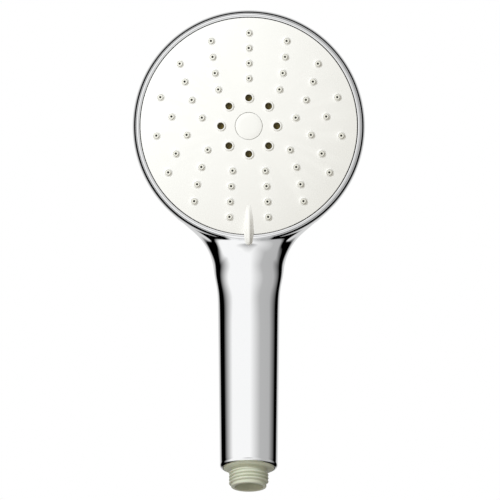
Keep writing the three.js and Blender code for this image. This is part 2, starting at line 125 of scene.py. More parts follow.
LOOKS = {
    "chrome": finish("chrome", (0.93, 0.935, 0.94), 0.035, 1.0, rough_spread=0.02, tint=0.01, blotch_scale=30),
    "white_abs": finish("white_abs", (0.93, 0.925, 0.905), 0.38, grain=0.12, tint=0.012, rough_spread=0.05),
    "silicone": finish("silicone", (0.85, 0.84, 0.775), 0.5, grain=0.15, tint=0.03, rough_spread=0.06),
    "connector_plastic": finish("connector_plastic", (0.74, 0.765, 0.645), 0.42, grain=0.15, tint=0.03,
                                rough_spread=0.06, subsurface=0.05),
    "olive_plastic": finish("olive_plastic", (0.1, 0.074, 0.014), 0.6, grain=0.2, tint=0.08, rough_spread=0.08),
    "acetal": finish("acetal", (0.78, 0.78, 0.73), 0.42, grain=0.12, tint=0.03, rough_spread=0.06),
    "rubber": finish("rubber", (0.014, 0.014, 0.015), 0.62, grain=0.3, tint=0.1, rough_spread=0.08),
    "steel": finish("steel", (0.56, 0.57, 0.58), 0.27, 1.0, grain=0.1, grain_scale=1500, rough_spread=0.07),
}
print("finishes", sorted(LOOKS))

# %% [markdown]
# ## Helpers
# A turned piece starts as its half outline, drawn as edges, and is spun right round in edit mode, as the real
# moulds are turned on a lathe. Repeats such as the nozzles are copies of one piece joined into their moulding.

# %% Selecting, building and welding


def activate(obj):
    bpy.ops.object.select_all(action="DESELECT")
    obj.select_set(True)
    bpy.context.view_layer.objects.active = obj


def raw(name, verts, edges=(), faces=()):
    mesh = bpy.data.meshes.new(name)
    mesh.from_pydata([tuple(v) for v in verts], list(edges), [tuple(f) for f in faces])
    mesh.update()
    obj = bpy.data.objects.new(name, mesh)
    bpy.context.scene.collection.objects.link(obj)
    return obj


def tidy(obj, merge=0.0005):
    """Welds the seams and turns every face outwards."""
    activate(obj)
    bpy.ops.object.mode_set(mode="EDIT")
    bpy.ops.mesh.select_all(action="SELECT")
    bpy.ops.mesh.remove_doubles(threshold=merge)
    bpy.ops.mesh.normals_make_consistent(inside=False)
    bpy.ops.object.mode_set(mode="OBJECT")
    return obj


# %% Turned and boxed starts


def turned(name, outline, steps=96):
    """Spins a half outline of (radius, height) points. It ends on the axis or closes on itself."""
    closed = outline[0] == outline[-1]
    points = outline[:-1] if closed else outline
    n = len(points)
    edges = [(i, i + 1) for i in range(n - 1)] + ([(n - 1, 0)] if closed else [])
    obj = raw(name, [(r, 0, z) for r, z in points], edges)
    activate(obj)
    bpy.ops.object.mode_set(mode="EDIT")
    bpy.ops.mesh.select_all(action="SELECT")
    bpy.ops.mesh.spin(steps=steps, angle=2 * math.pi, center=(0, 0, 0), axis=(0, 0, 1))
    bpy.ops.object.mode_set(mode="OBJECT")
    return tidy(obj)


def arc(centre, radius, start, end, count=6):
    """Points of a round in an outline, angles in degrees."""
    angles = [math.radians(start + (end - start) * i / count) for i in range(count + 1)]
    return [(centre[0] + radius * math.cos(a), centre[1] + radius * math.sin(a)) for a in angles]


def rod(name, radius, z0, z1, steps=48):
    return turned(name, [(0, z0), (radius, z0), (radius, z1), (0, z1)], steps)


def sleeve(name, inner, outer, z0, z1, edge=0.15, steps=64):
    """A ring with softly broken edges."""
    e = min(edge, (outer - inner) / 3, (z1 - z0) / 3)
    outline = (arc((outer - e, z0 + e), e, -90, 0, 3) + arc((outer - e, z1 - e), e, 0, 90, 3)
               + arc((inner + e, z1 - e), e, 90, 180, 3) + arc((inner + e, z0 + e), e, 180, 270, 3))
    return turned(name, outline + [outline[0]], steps)


def block(name, size, centre=(0, 0, 0), edge=0.0):
    """A box with its edges rounded by edge."""
    bpy.ops.mesh.primitive_cube_add(size=1)
    obj = bpy.context.active_object
    obj.name = name
    obj.data.transform(Matrix.Translation(centre) @ Matrix.Diagonal((*size, 1)))
    if edge:
        bpy.ops.object.mode_set(mode="EDIT")
        bpy.ops.mesh.select_all(action="SELECT")
        bpy.ops.mesh.bevel(offset=edge, segments=3)
        bpy.ops.object.mode_set(mode="OBJECT")
    return obj


def torus(name, radius, tube, z=0.0, steps=72, around=20):
    bpy.ops.mesh.primitive_torus_add(major_radius=radius, minor_radius=tube, major_segments=steps,
                                     minor_segments=around)
    obj = bpy.context.active_object
    obj.name = name
    obj.data.transform(Matrix.Translation((0, 0, z)))
    return obj


# %% Placing, copying and cutting


def moved(obj, matrix):
    obj.data.transform(matrix)
    return obj


def shift(obj, x, y, z=0.0):
    return moved(obj, Matrix.Translation((x, y, z)))


def spun(obj, degrees):
    return moved(obj, Matrix.Rotation(math.radians(degrees), 4, "Z"))


def copy_of(obj):
    twin = obj.copy()
    twin.data = obj.data.copy()
    bpy.context.scene.collection.objects.link(twin)
    return twin


def join(first, *others):
    activate(first)
    for obj in others:
        obj.select_set(True)
    bpy.ops.object.join()
    return first


def ring_of(obj, radius, count, start=90.0):
    """Copies of a piece evenly round a circle, the first at 12 o'clock."""
    copies = []
    for i in range(count):
        a = math.radians(start + 360 * i / count)
        copies.append(shift(copy_of(obj), radius * math.cos(a), radius * math.sin(a)))
    bpy.data.objects.remove(obj)
    return join(*copies) if len(copies) > 1 else copies[0]


def cut(obj, *tools):
    """Takes the tools out of the piece with an applied boolean."""
    tool = join(*tools) if len(tools) > 1 else tools[0]
    activate(obj)
    mod = obj.modifiers.new("cut", "BOOLEAN")
    mod.operation = "DIFFERENCE"
    mod.solver = "EXACT"
    mod.use_self = True
    mod.object = tool
    bpy.ops.object.modifier_apply(modifier=mod.name)
    bpy.data.objects.remove(tool)
    return obj


# %% Bringing a finished piece into the frame


def shade(obj, angle=35):
    activate(obj)
    bpy.ops.object.shade_smooth_by_angle(angle=math.radians(angle))


def place(obj, body, slot, nodes, matrix=MM, angle=35):
    """Brings a finished piece into the frame with its finish."""
    obj.data.transform(matrix)
    obj.data.materials.clear()
    obj.data.materials.append(LOOKS[slot])
    shade(obj, angle)
    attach(obj, body)
    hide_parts(*nodes)
    print(obj.name, len(obj.data.polygons), "faces")
    return obj


# %% [markdown]
# ## Chromed body
# The real body is one plated moulding: a shallow dome that runs into a round handle through a soft neck, with
# no seam. Chrome shows every kink, so a cage of a few faces would have to be very even. It is made another way
# here: the dome and the swept handle are written as distances, blended into one, and closed rings are laid on
# the blend. The rings start as the rim of the head, fold back about a line below it until they square up with
# the neck, and then run down the handle, round its lip and back up inside as the wall.

# %% Handle, neck and web sizes
SLOPE = math.tan(TILT)
BEND_Z, BEND_SOFT = 129.6, 8.0      # where the handle's axis turns to follow the face, and how gently
HANDLE_END_R, HANDLE_TAPER = 15.3, 1.4
DOME_EDGE, DOME_DEPTH = 8.0, 20.0   # depth of the widest ring behind the face, and the dome's rise behind it
RIM_PULL = 0.036                    # how fast the side draws in from the widest ring to the rim
WEB_SOFT, JOIN_SOFT = 11.2, 16.5    # how widely the web melts into the neck, and the neck into the dome


def spine_y(z):
    return -SLOPE * BEND_SOFT * np.logaddexp(0, (z - BEND_Z) / BEND_SOFT)


def spine_slope(z):
    return -SLOPE / (1 + np.exp(-(z - BEND_Z) / BEND_SOFT))


def ease(x, lo, hi):
    t = np.clip((x - lo) / (hi - lo), 0, 1)
    return t * t * t * (t * (6 * t - 15) + 10)


def handle_radius(z):
    return HANDLE_END_R + HANDLE_TAPER * np.clip((z - 12) / 98, 0, 1.2)


def half_width(z):
    return handle_radius(z) - 1.9 * ease(z, 100, 140) - 9.5 * ease(z, 148, 190)


def half_depth(z):
    return handle_radius(z) - 5.15 * ease(z, 84, 136) - 6.6 * ease(z, 142, 190)


def flare_size(z):
    """The web behind the neck that flares into the rim: half width, depths before and behind, and setback."""
    small, late = 1 - ease(z, 89, 125), ease(z, 108.8, 133.9)
    flare = 10.1 * np.exp(np.minimum(z - 139.4, 9) / 10.8) * (1 - ease(z, 141, 169))
    return 16.25 - 12 * small + flare, 14.4 - 11 * small + 1.4 * late, 13 - 10 * small - 9.5 * late, 8.0 * late


# %% Dome and handle blended into one


def soft_min(a, b, k):
    """The nearer of two distances, rounded where they are within k of each other."""
    h = np.clip(k - np.abs(a - b), 0, None) / k
    return np.minimum(a, b) - h ** 3 * k / 6


def oval_distance(x, w, a, b):
    q = np.sqrt((x / a) ** 2 + (w / b) ** 2) + 1e-9
    return (q - 1) * q / (np.sqrt((x / a ** 2) ** 2 + (w / b ** 2) ** 2) + 1e-9)


def body_distance(p):
    """How far points are outside the blended dome and handle, close to the surface."""
    rel = p - C
    up, depth = rel @ UP, -(rel @ OUT)
    r = np.sqrt(p[:, 0] ** 2 + up ** 2)
    back = np.maximum(depth - DOME_EDGE, 0)
    dome = oval_distance(r, back, HEAD_R, DOME_DEPTH)
    front = np.maximum(DOME_EDGE - depth, 0)
    wall = (r - (HEAD_R - RIM_PULL * front ** 2)) / np.sqrt(1 + (2 * RIM_PULL * front) ** 2)
    dome = np.where(depth < DOME_EDGE, wall, dome)
    s = p[:, 2].copy()
    for _ in range(5):
        slope = spine_slope(s)
        miss = (p[:, 2] - s) + (p[:, 1] - spine_y(s)) * slope
        s = s + miss / (1 + slope ** 2)
    slope = spine_slope(s)
    norm = np.sqrt(1 + slope ** 2)
    w = ((p[:, 1] - spine_y(s)) - (p[:, 2] - s) * slope) / norm
    neck = oval_distance(p[:, 0], w, half_width(s), half_depth(s))
    wide, ahead, behind, setback = flare_size(s)
    w = w - setback
    flare = oval_distance(p[:, 0], w, wide, np.where(w < 0, ahead, behind))
    neck = soft_min(neck, flare, WEB_SOFT)
    neck = neck + 18 * ease(s, 155, 250)    # the neck sinks into the dome's back
    return soft_min(dome, neck, 0.4 + JOIN_SOFT * ease(depth, -0.3, 9.5))


# %% Rings on the blend


def ring_points(centre, across, along, offset, count, reach, below=1e9):
    """One closed ring: where rays from the centre leave the blend, none going further down than below."""
    angles = np.linspace(0, 2 * np.pi, count, endpoint=False)
    rays = np.outer(np.cos(angles), across) + np.outer(np.sin(angles), along)
    near, far = np.zeros(count), np.minimum(reach, below / np.maximum(-np.sin(angles), 1e-9))
    for _ in range(40):
        mid = (near + far) / 2
        outside = body_distance(centre + rays * mid[:, None]) + offset > 0
        far = np.where(outside, mid, far)
        near = np.where(outside, near, mid)
    return centre + rays * near[:, None]


FOLD_UP, RIM_DEPTH = 61.2, 0.9     # the fold line: how far below the head's centre, and behind the face


def body_rings(offset, folds, runs, end_z, count):
    """Rings from the head's rim to near the handle's end."""
    side = np.array([1.0, 0, 0])
    hinge = C - UP * FOLD_UP - OUT * RIM_DEPTH
    z = np.linspace(125, 165, 4001)
    toward = np.stack([np.zeros_like(z), hinge[1] - spine_y(z), hinge[2] - z], 1)
    z0 = z[np.argmin(np.abs(toward[:, 2] + toward[:, 1] * spine_slope(z)))]
    back = np.array([0, 1.0, -spine_slope(z0)])
    back /= np.linalg.norm(back)
    last = math.atan2(-(back @ OUT), back @ UP)
    rings = []
    for i in range(folds):
        a = last * (i / folds) ** 1.5
        along = math.cos(a) * UP - math.sin(a) * OUT
        thin = offset * (0.4 + 0.6 * ease(a, 0, 0.06))
        low, high = 20.0 if i < folds / 2 else 5.0, 130.0
        steps = np.linspace(low, high, 400)
        inside = body_distance(hinge + np.outer(steps, along)) + thin < 0
        length = steps[np.where(inside)[0][-1]]
        rings.append(ring_points(hinge + along * length / 2, side, along, thin, count, 90.0, length / 2))
    for z in np.linspace(z0, end_z, runs):
        along = np.array([0, 1.0, -spine_slope(z)])
        along /= np.linalg.norm(along)
        centre = np.array([0, spine_y(z), z])
        rings.append(ring_points(centre, side, along, offset, count, 45.0))
    return rings


def level_ring(radius, z, count):
    angles = np.linspace(0, 2 * np.pi, count, endpoint=False)
    return np.stack([radius * np.cos(angles), radius * np.sin(angles), np.full(count, z)], 1)


def closed_rings(name, rings):
    """A skin through matching rings, the last joined to the first."""
    count, n = len(rings[0]), len(rings)
    verts = np.concatenate(rings)
    faces = []
    for i in range(n):
        k = (i + 1) % n
        for j in range(count):
            m = (j + 1) % count
            faces.append((i * count + j, i * count + m, k * count + m, k * count + j))
    return tidy(raw(name, verts, faces=faces), 1e-5)


# %% Body skin
AROUND, WALL = 224, 2.2
outer = body_rings(0.0, 104, 110, 12.4, AROUND)
lip_outline = arc((13.93, 12.0), 1.4, 0, -78, 10) + arc((14.0, 10.75), 0.25, -100, -180, 3)
lip = [level_ring(r, z, AROUND) for r, z in lip_outline + [(13.75, 15.2), (13.1, 15.4)]]
inner = body_rings(WALL, 40, 40, 18.0, AROUND)[::-1]
shell = closed_rings("shell", outer + lip + inner)
place(shell, "handset", "chrome", ["outer_shell"], angle=50)

# %% [markdown]
# ## Trim ring
# The bright line round the face is a plated ring snapped into the shell. Its flat front, small round and
# sloped side give the thin dark line that runs right round in the chrome, so its outline is drawn with care
# and spun.

# %% Trim ring
ring_lip = arc((59.0, -0.38), 0.25, 180, 106, 5)
ring_round = arc((59.42, -1.3), 1.3, 92, 22, 14)
ring_foot = [(60.7, -1.2), (60.4, -1.25), (59.8, -1.3), (59.8, -6.6)]
ring_outline = [(58.75, -6.6), (58.75, -0.6)] + ring_lip + ring_round + ring_foot + [(58.75, -6.6)]
trim = turned("trim_ring", ring_outline, 256)
place(trim, "handset", "chrome", ["front_ring"], HEAD, 30)

# %% [markdown]
# ## White spray face
# One white moulding turns as the selector: a flat disc with a fin at 6 o'clock, rims round the large bores and
# low collars round the small nozzles. The disc is spun, bored through, and given its collars, rims and fin.

# %% White spray face
disc = turned("spray_face", [(5.4, -2.6), (5.4, -7.3), (3.5, -7.3), (3.5, -4.7), (1.7, -4.7), (1.7, -3.5),
                             (3.4, -3.5), (3.4, -1.4), (7.45, -1.4), (7.45, -0.5), (7.55, -0.4), (57.95, -0.4)]
              + arc((57.95, -0.75), 0.35, 90, 0, 5)
              + [(58.3, -8.2), (56.9, -8.2), (56.9, -2.6), (20.4, -2.6), (20.4, -5.9), (18.7, -5.9),
                 (18.7, -2.6), (5.4, -2.6)], 192)
bores = [ring_of(rod("bore", 1.875, -4, 2, 32), *JET_RING)]
for radius, count in RAIN_RINGS:
    bores.append(ring_of(rod("bore", 1.55, -4, 2, 28), radius, count))
cut(disc, *bores)

rim_foot = [(2.72, -0.15), (2.9, -0.34), (3.15, -0.42), (3.15, -0.9), (1.875, -0.9)]
rim = turned("jet_rim", [(1.875, -0.9), (1.875, 0.3)] + arc((2.12, 0.3), 0.245, 180, 90, 4)
             + arc((2.2, 0.15), 0.395, 90, 25, 4) + rim_foot, 48)
rims = ring_of(rim, *JET_RING)
collar_foot = [(2.05, -0.1), (2.2, -0.33), (2.4, -0.42), (2.4, -0.9), (1.55, -0.9)]
collar = turned("collar", [(1.55, -0.9), (1.55, 0.35)] + arc((1.62, 0.35), 0.07, 180, 90, 2)
                + arc((1.64, 0.3), 0.12, 90, 30, 3) + collar_foot, 36)
collars = [ring_of(copy_of(collar), r, n) for r, n in RAIN_RINGS]
bpy.data.objects.remove(collar)

# %% Fin on the face
# A smooth cage of nine-point sections, from the disc out over the ring: radius, top, half base, half crest.
FIN = [(41.5, -0.5, 0.7, 0.3), (44.0, -0.1, 1.5, 0.5), (48.0, 0.85, 2.35, 0.65), (52.0, 1.95, 2.75, 0.75),
       (56.0, 2.95, 2.85, 0.8), (59.5, 3.3, 2.6, 0.85), (62.0, 3.0, 2.2, 0.85), (63.3, 2.3, 1.8, 0.8),
       (63.9, 1.5, 1.4, 0.7)]
rings = []
for radius, top, base, crest in FIN:
    low = -1.4 if radius < 58 else (0.35 if radius > 59 else -0.6)
    mid = -0.4 + 0.5 * (top + 0.4)
    wide = crest + 0.3 * (base - crest)
    foot = max(low, -0.42) if radius < 59 else low + 0.15
    rings.append(np.array([(-base, -radius, low), (base, -radius, low), (base, -radius, foot),
                           (wide, -radius, max(mid, foot + 0.2)), (crest, -radius, top - 0.18), (0, -radius, top),
                           (-crest, -radius, top - 0.18), (-wide, -radius, max(mid, foot + 0.2)),
                           (-base, -radius, foot)]))
count = len(rings[0])
faces = [(i * count + j, i * count + (j + 1) % count, (i + 1) * count + (j + 1) % count, (i + 1) * count + j)
         for i in range(len(rings) - 1) for j in range(count)]
faces += [tuple(range(count)), tuple(range((len(rings) - 1) * count, len(rings) * count))]
fin = tidy(raw("fin", np.concatenate(rings), faces=faces))
activate(fin)
soft = fin.modifiers.new("soft", "SUBSURF")
soft.levels = 3
bpy.ops.object.modifier_apply(modifier=soft.name)
face = join(disc, rims, *collars, fin)
place(face, "selector", "white_abs", ["spray_face"], HEAD)

# %% [markdown]
# ## Centre cap
# A small push-in cap hides the screw that holds the turning face. It is spun with a soft edge, and the fine
# line round it is the real gap to the disc.

# %% Centre cap
cap = turned("centre_cap", [(0, -1.15), (7.1, -1.15)] + [(7.2, -1.05), (7.2, -0.62)]
             + arc((6.95, -0.6), 0.25, 0, 80, 4) + [(4.0, -0.27), (0, -0.22)], 96)
place(cap, "selector", "white_abs", ["centre_cap"], HEAD)

# %% [markdown]
# ## Silicone nozzles
# The soft tips come from one cream silicone sheet behind the disc, so that lime can be rubbed off them. One
# tip is spun with its fine bore and rounded mouth, then repeated on the four rings.

# %% Silicone nozzles
tip = turned("tip", [(0.6, -4.4), (1.46, -4.4), (1.46, 0.1), (1.4, 0.95)] + arc((1.2, 0.98), 0.2, 0, 90, 4)
             + [(0.85, 1.15)] + arc((0.72, 1.03), 0.12, 90, 180, 3) + [(0.6, 0.6), (0.6, -4.4)], 32)
tips = [ring_of(copy_of(tip), r, n) for r, n in RAIN_RINGS]
bpy.data.objects.remove(tip)
sheet = sleeve("nozzle_mat", 21, 56.4, -4.4, -2.9, 0.3, 96)
sheet_holes = [ring_of(rod("hole", 0.9, -6, 0, 16), r, n) for r, n in RAIN_RINGS]
cut(sheet, *sheet_holes)
mat = join(sheet, *tips)
place(mat, "selector", "silicone", ["nozzle_mat"], HEAD)

# %% [markdown]
# ## Hose connector
# The pale plastic connector has a collar against the handle's lip, a short plain neck and a right-hand hose
# thread. The ridge is laid as one long strip that winds down the core, and it dies away at both ends as a
# moulded thread does. The core, collar and bore are spun.

# %% Hose connector


def thread_skin(name, z0, z1, per_turn=72):
    """A winding strip of the thread's outline, on a core, with faded ends."""
    shape = [(0.0, 0.0), (0.1, 0.06), (0.2, 0.5), (0.3, 0.93), (0.38, 1.0), (0.5, 1.0), (0.58, 0.93),
             (0.68, 0.5), (0.78, 0.06), (0.88, 0.0)]
    turns = (z1 - z0) / PITCH - 1
    steps = int(turns * per_turn)
    verts, faces = [], []
    for i in range(steps + 1):
        a = 2 * math.pi * i / per_turn
        fade = min(1, i / (per_turn * 0.35), (steps - i) / (per_turn * 0.35))
        fade = fade * fade * (3 - 2 * fade)
        for part, height in shape:
            r = ROOT_R - 0.12 + (THREAD_R - ROOT_R) * height * fade + 0.12 * height
            z = z0 + (i / per_turn + part) * PITCH
            verts.append((r * math.cos(a), r * math.sin(a), z))
    n = len(shape)
    for i in range(steps):
        for j in range(n - 1):
            faces.append((i * n + j, (i + 1) * n + j, (i + 1) * n + j + 1, i * n + j + 1))
        faces.append((i * n + n - 1, (i + 1) * n + n - 1, (i + 1) * n, i * n))
    faces += [tuple(range(n)), tuple(range(steps * n, steps * n + n))]
    return tidy(raw(name, verts, faces=faces), 1e-6)


core = turned("hose_connector", [(7.5, 0.35)] + arc((7.85, 0.35), 0.35, 180, 270, 4)
              + arc((9.0, 0.35), 0.35, 270, 345, 4)
              + [(ROOT_R, 0.75), (ROOT_R, 9.3), (9.45, 9.85), (9.7, 10.0), (12.95, 10.0)]
              + arc((12.95, 10.45), 0.45, -90, 0, 5)
              + [(13.4, 15.0), (12.7, 15.0), (12.7, 21), (10.4, 23), (10.4, 41), (8.6, 43), (8.6, 57), (5.9, 57),
                 (5.9, 45.2), (4.2, 43.5), (4.2, 40), (7.5, 38), (7.5, 0.35)], 160)
thread = thread_skin("thread", 0.35, 9.2)
connector = join(core, thread)
place(connector, "handset", "connector_plastic", ["hose_connector"], MM, 40)

# %% [markdown]
# ## Screw, washer and turbine
# Behind the white disc a bladed wheel spins, and its slotted front is the dark olive seen through the eight
# large bores. The screw and washer under the cap hold the turning face on the fixed post. All are spun, and
# the slots, the cross recess and the blades' gaps are cut or joined on as in the moulds.

# %% Screw, washer and turbine


def screw(name, head_r, shank_r, tip_z, under_z, top_z):
    """A pan-head screw with a ringed shank."""
    rings = [(shank_r - 0.3 * (k % 2), z) for k, z in enumerate(np.linspace(tip_z + 0.5, under_z - 1.0, 27))]
    pan = arc((head_r - 0.5, top_z - 0.5), 0.5, 0, 90, 6)
    return turned(name, [(0, tip_z), (shank_r - 0.5, tip_z + 0.1)] + rings
                  + [(shank_r, under_z - 0.4), (shank_r, under_z), (head_r, under_z)] + pan + [(0, top_z)], 48)


centre_screw = screw("centre_screw", 2.9, 1.3, -12.0, -2.4, -1.65)
cross = [block("recess", size, (0, 0, -1.7), 0.1) for size in ((4.2, 0.8, 1.0), (0.8, 4.2, 1.0))]
cut(centre_screw, *cross)
place(centre_screw, "selector", "steel", ["centre_screw"], HEAD)
place(sleeve("screw_washer", 1.6, 3.1, -3.2, -2.7, 0.1), "selector", "steel", ["screw_washer"], HEAD)

turbine = turned("turbine", [(5.8, -7.1), (7.4, -7.1), (7.4, -4.0), (15.9, -4.0), (15.9, -5.2)]
                 + arc((17.2, -5.0), 0.2, -90, 0, 4) + arc((17.2, -3.3), 0.2, 0, 90, 4)
                 + [(6.0, -3.1), (5.8, -3.3), (5.8, -7.1)], 160)
cut(turbine, ring_of(block("slot", (2.9, 2.9, 3), (0, 0, -3.6), 0.3), 14.3, 8, 112.5))
blade = block("blade", (9.2, 1.0, 3.2), (11.8, 0, -5.5), 0.2)
blades = [spun(copy_of(blade), 60 * i) for i in range(6)]
bpy.data.objects.remove(blade)
place(join(turbine, *blades), "turbine", "olive_plastic", ["turbine"], HEAD)

swirl = turned("swirl_plate", arc((4.0, -9.2), 0.2, 180, 270, 3) + arc((18.1, -9.2), 0.2, -90, 0, 3)
               + arc((18.1, -7.8), 0.2, 0, 90, 3) + arc((4.0, -7.8), 0.2, 90, 180, 3) + [(3.8, -9.2)], 128)
jets = []
for i in range(6):
    jet = moved(block("jet", (5.4, 1.5, 6.0), edge=0.15), Matrix.Rotation(math.radians(40), 4, "X"))
    jets.append(spun(shift(jet, 13.2, 0, -8.5), 60 * i))
cut(swirl, *jets)
place(swirl, "selector", "olive_plastic", ["swirl_plate"], HEAD)

# %% [markdown]
# ## Valve pieces in the head
# The chamber plate turns with the face and brings one of its three ports over the fixed stator's outlet. The
# stator is an acetal moulding of rods and ribs, so it is put together from spun and block pieces, with its
# bores cut last. The sprung seal and the detent plunger sit in it.

# %% Valve pieces in the head


def on_ring(obj, radius, degrees):
    a = math.radians(degrees)
    return shift(obj, radius * math.cos(a), radius * math.sin(a))


def coil(name, radius, wire, z0, z1, turns, per_turn=32, around=12):
    """A round wire wound about +Z."""
    steps = int(turns * per_turn)
    rings = []
    for i in range(steps + 1):
        a = 2 * math.pi * i / per_turn
        out, centre = np.array([math.cos(a), math.sin(a), 0]), z0 + (z1 - z0) * i / steps
        bends = np.linspace(0, 2 * np.pi, around, endpoint=False)
        rings.append(radius * out + (0, 0, centre) + wire * (np.outer(np.cos(bends), out)
                                                          + np.outer(np.sin(bends), (0, 0, 1))))
    faces = []
    for i in range(steps):
        for j in range(around):
            k = (j + 1) % around
            faces.append((i * around + j, i * around + k, (i + 1) * around + k, (i + 1) * around + j))
    faces += [tuple(range(around)), tuple(range(steps * around, (steps + 1) * around))]
    return tidy(raw(name, np.concatenate(rings), faces=faces), 1e-5)


# %% Chamber plate
SETTING, PORT_RADIUS = 30, 24      # degrees between the face's settings, and how far out the ports are
plate = turned("chamber_plate", [(3.8, -12.3), (28.4, -12.3), (28.6, -12.1), (28.6, -8.2), (56.2, -8.2),
                                 (56.4, -8.0), (56.4, -6.2), (18.7, -6.2), (18.7, -9.8), (3.8, -9.8),
                                 (3.8, -12.3)], 160)
ports = []
for mode in (-1, 0, 1):
    port_top = -8.6 if mode == 1 else -5
    ports.append(on_ring(rod("port", 2.5, -13, port_top, 40), PORT_RADIUS, SETTING * mode - 90))
    ports.append(on_ring(rod("notch", 1.5, -13, -11.4, 32), PORT_RADIUS, SETTING * mode + 90))
    if mode != -1:
        ports.append(spun(block("slot", (10, 4, 1.2), (21, 0, -9.2), 0.2), SETTING * mode - 90))
for port in ports:
    cut(plate, port)
place(plate, "selector", "acetal", ["chamber_plate"], HEAD)

# %% Stator
SCREW_ANGLES, SCREW_RADIUS = (45, 135, 225, 315), 30
DOWN = Matrix.Translation((0, 0, -16)) @ Matrix.Rotation(math.radians(90), 4, "X")
stator = turned("valve_body", [(0, -17.5), (8.8, -17.5), (9, -17.3), (9, -13), (8.8, -12.8), (3.2, -12.8),
                               (3.2, -5.2), (3.0, -5.0), (0, -5.0)], 72)
socket = moved(turned("socket", [(0, 8), (7.4, 8), (7.4, 45.7), (7.1, 46), (0, 46)], 64), DOWN)
cut(socket, rod("clearance", 29, -12.7, -5, 96))
outlet = shift(rod("outlet", 5.2, -16, -12.8), 0, -PORT_RADIUS)
detent = shift(rod("detent", 4, -21, -13), 0, PORT_RADIUS)
rib = block("rib", (8, 24, 2.2), (0, 12, -15.5), 0.3)
arms = [spun(block("arm", (34, 8, 2.2), (15, 0, -15.5), 0.3), a) for a in SCREW_ANGLES]
ears = [on_ring(rod("ear", 4.2, -16.6, -14.4), SCREW_RADIUS, a) for a in SCREW_ANGLES]
stator = join(stator, socket, outlet, detent, rib, *arms, *ears)
tools = [on_ring(rod("hole", 1.6, -22, -10, 32), SCREW_RADIUS, a) for a in SCREW_ANGLES]
tools += [moved(rod("tube_socket", 5.9, 31, 47, 64), DOWN), moved(rod("way", 3, 20.4, 32, 40), DOWN)]
tools += [shift(rod("outlet_bore", 3.4, -19.4, -12, 40), 0, -PORT_RADIUS)]
tools += [shift(rod("detent_bore", 2.1, -20, -12, 40), 0, PORT_RADIUS), rod("pilot", 1.6, -12.4, -4, 32)]
for tool in tools:
    cut(stator, tool)
place(stator, "handset", "acetal", ["valve_body"], HEAD)

# %% Stator screws, port seal and detent
for letter, angle in zip("abcd", SCREW_ANGLES):
    pan_screw = screw("valve_screw_" + letter, 2.6, 1.3, -21, -14.1, -12.6)
    cut(pan_screw, block("slot", (3.8, 0.7, 1.2), (0, 0, -12.7), 0.08))
    place(on_ring(pan_screw, SCREW_RADIUS, angle), "handset", "steel", ["valve_screw_" + letter], HEAD)

seal = turned("port_seal", [(1.9, -15), (3.0, -15), (3.1, -14.9), (3.1, -13)] + arc((2.7, -12.9), 0.3, 0, 90, 5)
              + [(2.0, -12.6), (1.9, -12.7), (1.9, -15)], 64)
place(shift(seal, 0, -PORT_RADIUS), "handset", "rubber", ["port_seal"], HEAD)
seal_spring = shift(coil("port_seal_spring", 2.4, 0.3, -19.0, -15.5, 3), 0, -PORT_RADIUS)
place(seal_spring, "handset", "steel", ["port_seal_spring"], HEAD)
plunger = turned("detent_plunger", [(0, -16), (1.7, -16), (1.8, -15.9), (1.8, -13.9)]
                 + arc((0, -14.4), 1.8, 12, 90, 10)[:-1] + [(0, -12.6)], 48)
place(shift(plunger, 0, PORT_RADIUS), "detent_plunger", "acetal", ["detent_plunger"], HEAD)
click = shift(coil("detent_spring", 1.35, 0.25, -19.6, -16.4, 3), 0, PORT_RADIUS)
place(click, "handset", "steel", ["detent_spring"], HEAD)
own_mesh(click)

# %% [markdown]
# ## Waterway
# A plain tube carries the water up the handle, so the plated shell holds no pressure. Its two ends plug into
# sockets with O-rings in turned grooves. It is one closed skin of rings along its centre line.

# %% Waterway
line = [np.array([0, 0, z]) for z in [45.5, 46.0] + list(np.linspace(47, 50, 4)) + [50.24, 50.25, 51.75, 51.76]
        + list(np.linspace(53, 110, 24))]
bend = [(-88, 9.9), (-70, 16), (-50, 16)]
for t in np.linspace(0, 1, 24):
    up, depth = [(1 - t) ** 2 * a + 2 * t * (1 - t) * b + t * t * c for a, b, c in zip(*bend)]
    line.append(C + UP * up - OUT * depth)
line += [C + UP * up - OUT * 16 for up in (-46, -42, -38.76, -38.75, -37.25, -37.24, -35, -32.5, -32)]
line = np.array(line)
along = np.gradient(line, axis=0)
along /= np.linalg.norm(along, axis=1)[:, None]
n = len(line)
grooved = [7, 8, n - 6, n - 5]
turns = np.linspace(0, 2 * np.pi, 64, endpoint=False)


def tube_ring(i, radius):
    back = np.cross((1, 0, 0), along[i])
    back = back / np.linalg.norm(back)
    return line[i] + radius * (np.outer(np.cos(turns), (1, 0, 0)) + np.outer(np.sin(turns), back))


outside = [tube_ring(i, 4.8 if i in grooved else 5.4 if i in (0, n - 1) else 5.6) for i in range(n)]
tube = closed_rings("waterway_tube", outside + [tube_ring(i, 4.0) for i in range(n)][::-1])
place(tube, "handset", "acetal", ["waterway_tube"])
lower = MM @ Matrix.Translation((0, 0, 51))
place(torus("tube_o_ring_lower", 5.38, 0.36), "handset", "rubber", ["tube_o_ring_lower"], lower)
upper = HEAD @ Matrix.Translation((0, -38, -16)) @ Matrix.Rotation(math.radians(90), 4, "X")
place(torus("tube_o_ring_upper", 5.38, 0.36), "handset", "rubber", ["tube_o_ring_upper"], upper)

# %% [markdown]
# ## Cartridges in the connector
# From the hose end up: a strainer, the water-saving cartridge with its soft ring, and the non-return valve with
# a sprung poppet. They are turned, drilled and ribbed like the small mouldings they are.

